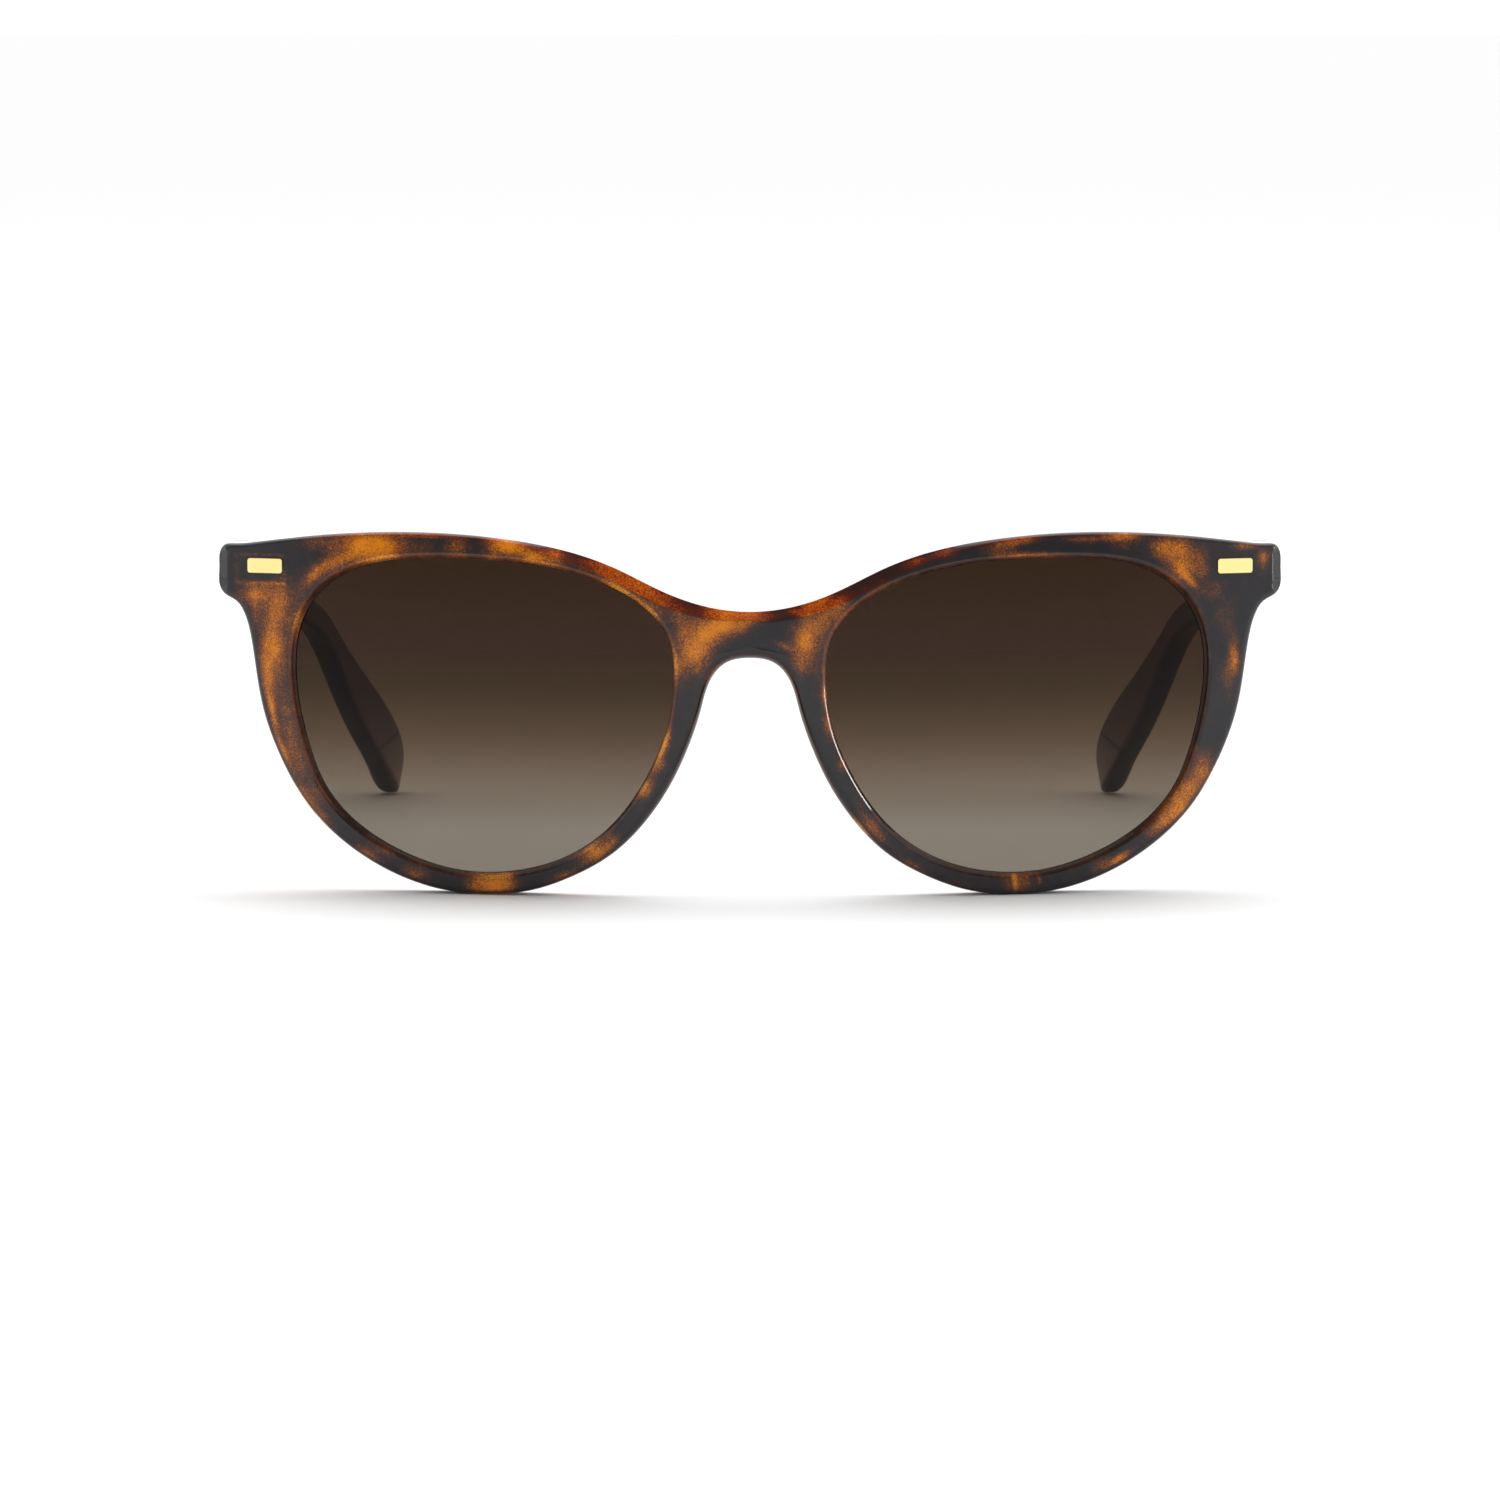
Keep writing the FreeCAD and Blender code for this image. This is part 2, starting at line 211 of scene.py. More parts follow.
# The bevel round the opening, its rows as shares of it, across and down, and how far past it
# the face starts.
LIP_BEVEL = 0.5
BEVEL_ROWS = ((0.05, 1.0), (0.3, 0.7), (0.65, 0.35), (0.95, 0.06))
FACE_START = 0.12

# The groove for the lens and its middle, the lip behind it, and the corners of the back.
GROOVE = 0.7
GROOVE_MIDDLE = 2.2
LIP_BACK = 3.2
BACK_BEVEL = 0.3
BACK_CORNER = 0.08
BACK_ROUND = 0.6

# The rounding of the front's outer edge: its plain size, and how much wider and deeper it gets
# along the brow, at the outer ends and beside the nose.
EDGE_ROUND = 0.8
BROW_EXTRA = (0.85, 0.5)
SIDE_EXTRA = (0.45, 0.1)
NOSE_EXTRA = (0.9, 1.3)

# Where those parts of the edge are: from the start of each to its full strength, and for the brow
# its middle and its reach. Along the brow and at the outer ends the edge is a flat cut, with
# its corners eased. FACING is for the part of the outward direction that points up or out.
UPPER_START = (36, 37)
UPPER_FACING = (0.2, 0.6)
BROW_SPAN = (13.5, 21)
BROW_CUT = (36, 24)
SIDE_START = (70.2, 71.0)
SIDE_FACING = (0.6, 0.95)
NOSE_START = (21, 7)
NOSE_TOP = (33, 34)
EDGE_EASE = 0.12

# The nose pads: their middle height and reach up and down, how far they rise and how they lean,
# where they end across, and how they fade into the back face from the rim to the opening.
PAD_HEIGHT = 20.5
PAD_REACH = 10.0
PAD_RISE = 4.6
PAD_LEAN = 0.41
PAD_END_X = (13, 17)
PAD_FADE = (0.1, 0.95)


def outline_half():
    """Points along half of the outline, closer together where it turns sharply, and normals."""
    mirrored = [(-x, z) for x, z in reversed(OUTLINE) if x > 0]
    at, whole = closed_spline(OUTLINE + mirrored)
    fine = at(np.linspace(0, whole, OUTLINE_STEPS + 1)[:-1])
    # The half ends where the outline is back in the middle, at the top of the bridge.
    under_bridge = fine[:, 1] < BRIDGE_HEIGHT
    top = np.argmin(np.abs(fine[:, 0]) + 10 * under_bridge)
    fine = fine[: top + 1]
    fine[0, 0] = 0
    fine[-1, 0] = 0
    length = running_length(fine)
    heading = np.unwrap(np.arctan2(*np.gradient(fine, axis=0).T[::-1]))
    turning = smoothed(np.abs(np.gradient(heading, length)), TURN_BLUR)
    density = smoothed(np.maximum(1 / POINT_GAP, POINTS_PER_RADIAN * turning), GAP_BLUR)
    share = np.concatenate([[0], np.cumsum((density[1:] + density[:-1]) / 2 * np.diff(length))])
    count = int(round(share[-1]))
    wanted = np.interp(np.linspace(0, share[-1], count + 1), share, length)
    points = at_length(fine, wanted)
    angle = np.interp(wanted, length, smoothed(heading, NORMAL_BLUR))
    normals = np.stack([np.sin(angle), -np.cos(angle)], axis=1)
    normals[0] = (0, -1)
    normals[-1] = (0, 1)
    return points, normals


def opening_match(targets):
    """For a ring of targets, the points on the opening that face them, and its outward normals."""
    at, whole = closed_spline(OPENING)
    fine = at(np.linspace(0, whole, OPENING_STEPS + 1)[:-1])
    nearest = [np.argmin(np.sum((fine - t) ** 2, axis=1)) for t in targets]
    nearest = np.unwrap(np.array(nearest + nearest[:1], float), period=OPENING_STEPS)
    step = np.maximum(np.diff(nearest), 0)
    step = ring_smoothed(step, MATCH_BLUR) + MATCH_LEAST * OPENING_STEPS / len(step)
    step *= OPENING_STEPS / step.sum()
    place = np.concatenate([[0], np.cumsum(step)[:-1]])
    place += np.mean(nearest[:-1] - place)
    tangent = np.roll(fine, -1, axis=0) - np.roll(fine, 1, axis=0)
    normal = np.stack([tangent[:, 1], -tangent[:, 0]], axis=1)
    normal /= np.linalg.norm(normal, axis=1)[:, None]
    steps = np.arange(OPENING_STEPS)

    def read(values):
        columns = [np.interp(place, steps, values[:, k], period=OPENING_STEPS) for k in range(2)]
        return np.stack(columns, axis=1)

    return read(fine), read(normal)


def edge_shape(points, normals):
    """How wide, deep and flat the front edge's rounding is at each outline point."""
    x, z = points[:, 0], points[:, 1]
    upper = smoothstep(*UPPER_FACING, normals[:, 1]) * smoothstep(*UPPER_START, z)
    brow = upper * hill(x, *BROW_SPAN)
    side = smoothstep(*SIDE_FACING, normals[:, 0]) * smoothstep(*SIDE_START, x)
    nose = smoothstep(*NOSE_START, x) * (1 - smoothstep(*NOSE_TOP, z))
    width, depth = (
        EDGE_ROUND + for_brow * brow + for_side * side + for_nose * nose
        for for_brow, for_side, for_nose in zip(BROW_EXTRA, SIDE_EXTRA, NOSE_EXTRA)
    )
    flat = np.clip(upper * smoothstep(*BROW_CUT, x) + side, 0, 1)
    return width, depth, flat


def edge_profile(width, depth, flat):
    """Rounding from the front face to the side wall: how far in, and how deep, at each step."""
    turn = np.linspace(0, math.pi / 2, EDGE_STEPS)
    round_in = width * (1 - np.sin(turn))
    round_deep = depth * (1 - np.cos(turn))
    ease = EDGE_EASE / math.hypot(width, depth)
    across = np.array([-ease, 0.0, ease, 0.35, 0.65, 1 - ease, 1.0, 1.0])
    down = np.array([0.0, 0.15 * ease, ease, 0.35, 0.65, 1 - ease, 1 - 0.15 * ease, 1 + ease])
    flat_in = width * (1 - across)
    flat_deep = depth * down
    return round_in + flat * (flat_in - round_in), round_deep + flat * (flat_deep - round_deep)


def back_y(x, z):
    """The back of the front: the inner ball, with the deep block behind each end piece."""
    block = smoothstep(*END_START_X, x) * smoothstep(*END_START_Z, z)
    ball = ball_y(x, z, FRONT_THICK)
    return ball + block * (END_DEPTH - ball)


def pad_rise(x, z):
    """How far the moulded nose pad stands behind the rim beside the nose."""
    return PAD_RISE * hill(z, PAD_HEIGHT, PAD_REACH) * (1 - smoothstep(*PAD_END_X, x))


# A row is a place (x, z) on the front, how far back the surface is there, and the part of the
# surface. In the functions below, p is a place on the opening and n its outward direction.

def opening_rows(p, n):
    """The groove for the lens, the lip in front of it and the small bevel round the opening."""
    groove = p + GROOVE * n
    middle = np.array([0, WRAP_MIDDLE])
    lip = p - (p - middle) * LIP_SLANT * LIP_DEPTH / WRAP_RADIUS
    rows = [
        (groove, ball_y(*groove, GROOVE_MIDDLE), "groove"),
        (groove, ball_y(*groove, LIP_DEPTH), "groove"),
        (lip, ball_y(*lip, LIP_DEPTH), "seat"),
        (lip + (p - lip) * SEAT_WIDTH, ball_y(*lip, LIP_DEPTH * SEAT_RISE), "seat"),
    ]
    for t in LIP_ROWS:
        place = lip + (p - lip) * t
        depth = LIP_DEPTH + (LIP_BEVEL * LIP_FRONT - LIP_DEPTH) * t
        rows.append((place, ball_y(*place, depth), "lip"))
    for across, down in BEVEL_ROWS:
        place = p + n * LIP_BEVEL * across
        rows.append((place, ball_y(*place, LIP_BEVEL * down), "bevel"))
    return rows


def face_rows(p, n, front_end):
    """The front face, from the bevel round the opening to the outer edge."""
    start = p + n * (LIP_BEVEL + FACE_START)
    places = [start + (front_end - start) * t for t in np.linspace(0, 1, FACE_STEPS)]
    return [(place, ball_y(*place, 0), "face") for place in places]


def side_rows(q, outward, rear, profile):
    """The outer edge, the side wall and the rounding at the back, where the outline passes q."""
    ins, deeps = profile
    rows = []
    for inward, deep in zip(ins[1:], deeps[1:]):
        place = q - outward * inward
        rows.append((place, ball_y(*place, 0) + deep, "edge"))
    wall_top = ball_y(*q, 0) + deeps[-1]
    pad = pad_rise(*rear)
    wall_end = back_y(*rear) - BACK_ROUND + pad
    for t in np.linspace(0, 1, WALL_STEPS + 1)[1:]:
        place = q + (rear - q) * t + (PAD_LEAN * pad * t * t, 0)
        rows.append((place, wall_top + (wall_end - wall_top) * t, "wall"))
    for turn in np.linspace(0, math.pi / 2, REAR_STEPS + 2)[1:-1]:
        place = rear - outward * BACK_ROUND * (1 - math.cos(turn)) + (PAD_LEAN * pad, 0)
        rows.append((place, wall_end + BACK_ROUND * math.sin(turn), "wall"))
    return rows


def back_rows(p, n, back_end, pad):
    """The back face, with the nose pad on it, and the lip behind the lens."""
    finish = p + n * BACK_BEVEL
    groove = p + GROOVE * n
    rows = []
    for t in np.linspace(0, 1, BACK_STEPS):
        place = back_end + (finish - back_end) * t
        rise = pad * (1 - smoothstep(*PAD_FADE, t))
        rows.append((place + (PAD_LEAN * rise, 0), back_y(*place) + rise, "back"))
    return rows + [
        (p + n * BACK_CORNER, back_y(*p) - BACK_CORNER, "back"),
        (p, back_y(*p) - BACK_BEVEL, "lip"),
        (p, ball_y(*p, LIP_BACK), "lip"),
        (groove, ball_y(*groove, LIP_BACK), "groove"),
    ]


def front_half():
    """One half of the front as columns of rows from the opening outwards and round the back to it.

    A row is None where the bridge has no outer edge.
    """
    outline, normals = outline_half()
    width, depth, flat = edge_shape(outline, normals)
    low, high = outline[0, 1], outline[-1, 1]
    inner = np.linspace(high, low, BRIDGE_STEPS + 2)[1:-1]
    targets = np.concatenate([outline, np.stack([0 * inner, inner], axis=1)])
    columns = []
    for k, (p, n) in enumerate(zip(*opening_match(targets))):
        if k < len(outline):
            q, outward = outline[k], normals[k]
            profile = edge_profile(width[k], depth[k], flat[k])
            front_end = q - outward * profile[0][0]
            rear = q.copy()
            rear[1] -= smoothstep(*END_START_X, q[0]) * max(q[1] - END_TOP, 0)
            back_end = rear - outward * BACK_ROUND
            pad = pad_rise(*rear)
            side = side_rows(q, outward, rear, profile)
        else:
            share = (k - len(outline) + 1) / (BRIDGE_STEPS + 1)
            drop = low + width[0] - high + width[-1]
            front_end = np.array([0, high - width[-1] + share * drop])
            back_end = np.array([0, high - BACK_ROUND + share * (low + 2 * BACK_ROUND - high)])
            pad = 0
            side = [None] * (EDGE_STEPS - 1 + WALL_STEPS + REAR_STEPS)
        face = face_rows(p, n, front_end)
        columns.append(opening_rows(p, n) + face + side + back_rows(p, n, back_end, pad))
    return columns


# Points this near to the middle are on the seam of the two halves.
SEAM_REACH = 1e-6


def grid_mesh(name, columns):
    """A mesh from a ring of columns of rows and its mirror image, joined where x is 0."""
    points = []
    kinds = []
    faces = []
    seam = {}
    for side in (1, -1):
        index = []
        for column in columns:
            row = []
            for entry in column:
                if entry is None:
                    row.append(None)
                    continue
                (x, z), y, kind = entry
                key = (round(y, 4), round(z, 4))
                on_seam = abs(x) < SEAM_REACH
                if on_seam and side == -1 and key in seam:
                    row.append(seam[key])
                    continue
                if on_seam:
                    seam[key] = len(points)
                row.append(len(points))
                points.append((side * x, y, z))
                kinds.append(kind)
            index.append(row)
        rows = len(index[0])
        for a in range(len(index)):
            b = (a + 1) % len(index)
            for r in range(rows):
                s = (r + 1) % rows
                face = [index[a][r], index[b][r], index[b][s], index[a][s]]
                if None in face or len(set(face)) < 4:
                    continue
                faces.append(face if side == 1 else face[::-1])
    mesh = bpy.data.meshes.new(name)
    mesh.from_pydata(to_frame(points).tolist(), [], faces)
    mesh.validate()
    return mesh, np.array(points), np.array(kinds)


# ---------------------------------------------------------------- the havana pattern

# Amber patches in the dark plastic: x, z, half length, half height, tilt in degrees, strength.
AMBER_PATCHES = [
    # brow on the right of the wearer
    (-51.3, 46.9, 3.4, 1.5, 0, 1.0), (-49.2, 46.0, 2.2, 1.2, 20, 0.7),
    (-55.6, 44.4, 3.4, 0.9, 24, 0.75), (-58.8, 42.3, 2.0, 0.6, 48, 0.6),
    (-58.0, 47.0, 2.2, 1.0, 0, 0.35), (-39.4, 46.9, 1.5, 1.3, 0, 0.5),
    (-44.0, 46.6, 1.5, 1.2, 0, 0.25), (-32.6, 47.1, 2.1, 0.9, -12, 0.95),
    (-29.0, 45.7, 3.0, 0.8, -14, 0.85), (-34.2, 46.0, 1.3, 0.9, 0, 0.45),
    (-25.9, 45.9, 1.2, 0.9, -20, 0.55), (-17.2, 41.4, 2.6, 1.1, -34, 0.7),
    (-13.4, 38.6, 1.6, 1.3, -40, 0.6), (-21.5, 44.0, 1.6, 0.7, -28, 0.3),
    # end piece and outer rim on the right of the wearer
    (-66.4, 39.9, 1.9, 1.2, 0, 0.85), (-63.2, 39.2, 1.5, 2.0, 0, 0.7),
    (-64.2, 36.6, 1.3, 1.6, 0, 0.6), (-64.3, 33.0, 1.3, 2.2, 0, 0.9),
    (-66.6, 37.0, 0.6, 1.4, 0, 0.4), (-65.0, 29.4, 0.9, 2.6, 4, 0.8),
    (-63.2, 30.0, 1.1, 3.5, 0, 0.35), (-64.4, 24.6, 0.45, 2.6, 12, 0.95),
    (-62.2, 23.0, 1.1, 4.0, 10, 0.4), (-62.9, 18.8, 0.45, 2.3, 24, 0.85),
    (-60.8, 18.0, 1.0, 3.2, 20, 0.4), (-60.4, 12.9, 0.65, 2.4, 36, 0.95),
    (-58.0, 9.8, 0.7, 2.0, 42, 0.9), (-58.4, 13.0, 0.9, 2.4, 36, 0.35),
    (-61.0, 36.4, 0.8, 2.2, -12, 0.5),
    # lower rim on the right of the wearer
    (-51.6, 5.0, 1.7, 0.7, -30, 0.75), (-49.2, 5.6, 1.6, 0.6, -25, 0.35),
    (-45.0, 2.7, 1.7, 1.0, -10, 0.5), (-34.3, 1.2, 2.0, 1.6, 0, 0.95),
    (-36.6, 1.3, 1.3, 1.2, 0, 0.6), (-32.4, 1.6, 0.9, 1.2, 0, 0.6),
    (-24.6, 2.6, 1.8, 0.7, 20, 0.7), (-20.7, 6.0, 1.7, 1.3, 30, 0.85),
    (-18.3, 7.4, 1.2, 0.9, 40, 0.45),
    # rim beside the nose and bridge on the right of the wearer
    (-13.9, 14.6, 0.7, 1.3, -30, 0.75), (-11.6, 20.4, 0.6, 2.0, -20, 0.85),
    (-12.2, 17.8, 0.7, 1.2, -25, 0.5), (-10.9, 25.8, 0.5, 3.0, -6, 0.45),
    (-7.4, 33.2, 1.8, 1.9, 35, 0.85), (-9.6, 30.8, 1.2, 1.9, 10, 0.5),
    (-5.6, 35.2, 1.7, 1.2, 40, 0.8), (-4.0, 36.5, 2.4, 1.3, 10, 1.0),
    (-8.2, 35.8, 1.4, 1.6, 0, 0.55), (-9.6, 38.0, 1.4, 1.3, -30, 0.45),
    (-1.6, 36.6, 1.2, 0.9, 0, 0.6), (-6.6, 30.9, 1.0, 1.4, 30, 0.4),
    # bridge and rim beside the nose on the left of the wearer
    (7.2, 34.0, 1.3, 1.9, -8, 0.85), (8.3, 36.2, 1.8, 1.6, -30, 0.6),
    (10.6, 38.0, 1.8, 1.3, 35, 0.6), (4.5, 33.9, 1.1, 0.35, -25, 0.6),
    (6.7, 31.4, 0.9, 1.3, 0, 0.5), (9.2, 31.0, 0.9, 2.2, 0, 0.3), (-0.2, 37.2, 1.2, 0.5, 0, 0.6),
    (5.8, 38.4, 0.6, 0.4, 0, 0.5), (12.2, 39.3, 1.4, 1.1, 35, 0.45),
    (10.4, 23.4, 0.6, 1.6, 10, 0.5), (12.2, 18.0, 0.6, 0.7, 0, 0.5),
    (9.9, 27.4, 0.4, 1.6, 0, 0.5), (16.4, 9.6, 0.7, 2.4, 36, 0.55),
    (15.2, 9.4, 0.4, 1.6, 40, 0.75),
    # lower rim on the left of the wearer
    (21.6, 4.2, 2.2, 0.5, -32, 0.6), (28.0, 1.4, 1.5, 0.5, -20, 0.35),
    (35.6, 1.6, 0.4, 1.3, 6, 0.95), (37.0, 1.7, 0.8, 1.2, 0, 0.45), (34.4, 1.5, 0.6, 0.9, 0, 0.4),
    (38.8, 1.9, 0.3, 0.5, 0, 0.6), (49.6, 4.6, 1.5, 0.5, 30, 0.85),
    (47.4, 3.8, 1.3, 0.7, 25, 0.45), (55.8, 9.6, 2.5, 0.8, 42, 0.8),
    (57.6, 11.6, 2.0, 1.2, 50, 0.75), (59.6, 14.4, 1.1, 2.4, -35, 0.75),
    (60.9, 17.6, 1.0, 1.5, 0, 0.5), (62.0, 15.6, 0.5, 2.0, -30, 0.6),
    # end piece and brow on the left of the wearer
    (65.2, 31.4, 0.6, 2.0, 0, 0.75), (64.3, 28.8, 0.7, 1.8, 0, 0.4),
    (64.4, 35.4, 0.8, 1.5, 0, 0.2), (57.0, 46.2, 2.2, 1.4, 0, 0.75),
    (58.2, 43.9, 1.6, 1.6, -30, 0.7), (60.6, 43.6, 1.0, 1.8, 0, 0.45),
    (58.8, 42.2, 1.6, 0.4, -48, 0.85), (55.2, 46.2, 1.2, 0.9, 0, 0.4),
    (49.8, 48.0, 2.0, 0.5, 0, 0.85), (50.0, 46.9, 1.2, 0.8, 0, 0.3),
    (44.6, 47.7, 2.0, 0.4, 0, 0.5), (36.0, 47.6, 2.3, 0.5, 6, 0.6),
    (33.4, 46.8, 1.8, 0.7, 8, 0.45), (25.8, 46.1, 1.3, 0.6, 15, 0.5),
    (22.0, 44.9, 1.2, 0.5, 20, 0.45), (36.8, 45.8, 3.6, 0.35, 0, 0.5),
    (66.6, 46.3, 1.8, 0.4, 0, 0.55), (69.2, 44.6, 0.6, 0.9, 0, 0.75),
    (62.6, 40.6, 1.2, 1.0, 0, 0.35), (63.6, 37.6, 1.2, 1.4, 0, 0.25),
    (17.0, 41.4, 1.8, 0.7, 28, 0.25),
]

# How far a patch reaches past its half length, and how sharply it ends.
PATCH_SPREAD = 1.3
PATCH_EDGE = 2.1

# Amber stretches of the flat cut along the brow: middle, half length, strength.
AMBER_CUTS = [
    (-16.0, 6.5, 0.62), (-27.0, 4.0, 0.3), (-2.0, 4.8, 0.75), (8.8, 2.6, 0.65), (-47.0, 8.0, 0.5),
]

# The hinge plates show faintly through the end pieces: a thin amber frame round each, with its
# line's half width and its strength on the right and on the left of the wearer.
PLATE_MIDDLE = (66.0, 43.3)
PLATE_HALF = (3.3, 1.9)
PLATE_LINE = 0.22
PLATE_RIGHT = 0.8
PLATE_LEFT = 0.15

# Where the cut along the brow shows as a facet, how the edge is shaded behind the front face and
# from where it glows, and how much the side wall glows.
FACET_END = (62, 34)
FACET_LEAST = 0.05
SHADE_BAND = (0.18, 0.24)
SHADE_TOP = (40, 34)
GLOW_START = (0.3, 0.5)
WALL_GLOW = 0.6
CORNER_ANGLE = 40


def amber_amount(points):
    """How amber the plastic is at each point, 0 to 1, from the patches and the hinge plates."""
    x, z = points[:, 0], points[:, 2]
    total = np.zeros(len(points))
    for px, pz, half_x, half_z, tilt, strength in AMBER_PATCHES:
        c, s = math.cos(math.radians(tilt)), math.sin(math.radians(tilt))
        u = ((x - px) * c + (z - pz) * s) / half_x
        v = (-(x - px) * s + (z - pz) * c) / half_z
        r = np.sqrt(u * u + v * v) / PATCH_SPREAD
        total = 1 - (1 - total) * (1 - strength * np.exp(-r ** PATCH_EDGE))
    return total


def plate_amount(points):
    """How strongly the outline of a hinge plate glows through the plastic at each point."""
    x = np.abs(points[:, 0]) - PLATE_MIDDLE[0]
    z = points[:, 2] - PLATE_MIDDLE[1]
    off = np.maximum(np.abs(x) - PLATE_HALF[0], np.abs(z) - PLATE_HALF[1])
    return np.exp(-(off / PLATE_LINE) ** 2)


def make_front():
    """The front of the frame as one mesh, with the numbers that its material reads."""
    mesh, points, kinds = grid_mesh("front_shell", front_half())
    shell = bpy.data.objects.new("front_shell", mesh)
    bpy.context.scene.collection.objects.link(shell)
    x, z = np.abs(points[:, 0]), points[:, 2]
    behind = points[:, 1] - ball_y(points[:, 0], z, 0)
    edge = kinds == "edge"
    upper = smoothstep(*UPPER_START, z)
    top = edge * upper
    # Painted light: the back of the rounded edge below the brow glows amber as if lit through.
    glowing = edge * (1 - upper) * smoothstep(*GLOW_START, behind)
    plate_strength = np.where(points[:, 0] < 0, PLATE_RIGHT, PLATE_LEFT)
    amber = amber_amount(points)
    for middle, half, strength in AMBER_CUTS:
        amber = np.maximum(amber, top * strength * np.exp(-((points[:, 0] - middle) / half) ** 4))
    values = {
        "amber": amber,
        "plate": plate_amount(points) * (kinds == "face") * plate_strength,
        "facet": top * smoothstep(*FACET_END, x) * (behind > FACET_LEAST),
        # Painted light coming through the lip and the bevel round the lens.
        "lip": ((kinds == "lip") | (kinds == "bevel")) * 1.0,
        # Painted light glowing through the back of the edge and the side wall.
        "glow": glowing + (kinds == "wall") * WALL_GLOW,
        # Painted shade: the groove and the seat of the lens.
        "dark": ((kinds == "groove") | (kinds == "seat")) * 1.0,
        # Painted shade: a dark band on the rounded outer edge below the brow.
        "shade": edge * smoothstep(*SHADE_TOP, z) * hill(behind, *SHADE_BAND),
    }
    for name, value in values.items():
        store = mesh.attributes.new(name, "FLOAT", "POINT")
        store.data.foreach_set("value", value.astype(np.float32))
    mesh.shade_smooth()
    mesh.set_sharp_from_angle(angle=math.radians(CORNER_ANGLE))
    return shell


# ---------------------------------------------------------------- materials

# Colours of the havana plastic from its smoky parts to its amber ones: on the faces, on the
# flat cut along the brow, and on the lip round the lens, where light comes through the edge.
HAVANA_FACE = [
    (0.0, (0.021, 0.019, 0.022)), (0.2, (0.036, 0.024, 0.023)), (0.45, (0.125, 0.042, 0.018)),
    (0.72, (0.36, 0.105, 0.010)), (1.0, (0.80, 0.245, 0.008)),
]
HAVANA_FACET = [
    (0.0, (0.030, 0.010, 0.008)), (0.35, (0.11, 0.014, 0.003)), (0.7, (0.48, 0.075, 0.002)),
    (1.0, (0.85, 0.24, 0.006)),
]
HAVANA_LIP = [
    (0.0, (0.030, 0.014, 0.010)), (0.4, (0.20, 0.050, 0.008)), (1.0, (1.0, 0.36, 0.02)),
]
# Near-black painted shade for the groove that holds the lens and for its seat.
GROOVE_PAINTED_SHADE = (0.004, 0.003, 0.003)

# The noise in the pattern, per metre and in share: patches that drift, and specks at their edges.
DRIFT_SCALE = 560
DRIFT = 0.5
SPECK_SCALE = 4600
SPECKS = 4.2
PLATE_GLOW = 0.5


class Nodes:
    """A short way to wire a material, or the world with the same calls."""

    def __init__(self, name, owners=bpy.data.materials):
        self.owner = owners.new(name)
        self.owner.use_nodes = True
        self.tree = self.owner.node_tree
        self.tree.nodes.clear()

    def add(self, kind, **settings):
        node = self.tree.nodes.new(kind)
        for key, value in settings.items():
            setattr(node, key, value)
        return node

    def link(self, out, into):
        self.tree.links.new(out, into)

    def math(self, operation, a, b=None, clamp=False):
        node = self.add("ShaderNodeMath", operation=operation, use_clamp=clamp)
        for socket, value in zip(node.inputs, (a, b)):
            if value is None:
                continue
            if isinstance(value, (int, float)):
                socket.default_value = value
            else:
                self.link(value, socket)
        return node.outputs[0]

    def attribute(self, name):
        return self.add("ShaderNodeAttribute", attribute_name=name).outputs["Fac"]

    def noise(self, scale, detail=2.0, roughness=0.5):
        """Noise whose features are about 1/scale metres across."""
        place = self.add("ShaderNodeTexCoord").outputs["Object"]
        node = self.add("ShaderNodeTexNoise")
        node.inputs["Scale"].default_value = scale
        node.inputs["Detail"].default_value = detail
        node.inputs["Roughness"].default_value = roughness
        self.link(place, node.inputs["Vector"])
        return node.outputs["Fac"]

    def ramp(self, value, stops):
        node = self.add("ShaderNodeValToRGB")
        elements = node.color_ramp.elements
        while len(elements) < len(stops):
            elements.new(0.5)
        for element, (place, colour) in zip(elements, stops):
            element.position = place
            element.color = (*colour, 1)
        self.link(value, node.inputs["Fac"])
        return node.outputs["Color"]

    def mix(self, share, a, b):
        node = self.add("ShaderNodeMix", data_type="RGBA")
        self.link(share, node.inputs["Factor"])
        for socket, value in ((node.inputs[6], a), (node.inputs[7], b)):
            if isinstance(value, tuple):
                socket.default_value = (*value, 1)
            else:
                self.link(value, socket)
        return node.outputs[2]

    def bump(self, height, distance):
        node = self.add("ShaderNodeBump")
        node.inputs["Distance"].default_value = distance
        node.inputs["Strength"].default_value = 1.0
        self.link(height, node.inputs["Height"])
        return node.outputs["Normal"]

    def step(self, value, low, high):
        """A smooth step from 0 at low to 1 at high."""
        node = self.add("ShaderNodeMapRange", interpolation_type="SMOOTHSTEP")
        node.inputs["From Min"].default_value = low
        node.inputs["From Max"].default_value = high
        self.link(value, node.inputs["Value"])
        return node.outputs[0]

    def axes(self, output):
        """The x, y and z of the object's own place, or of the world's direction."""
        split = self.add("ShaderNodeSeparateXYZ")
        self.link(self.add("ShaderNodeTexCoord").outputs[output], split.inputs[0])
        return split.outputs

    def finish(self, shader, kind="ShaderNodeOutputMaterial"):
        output = self.add(kind)
        self.link(shader.outputs[0], output.inputs["Surface"])
        return self.owner


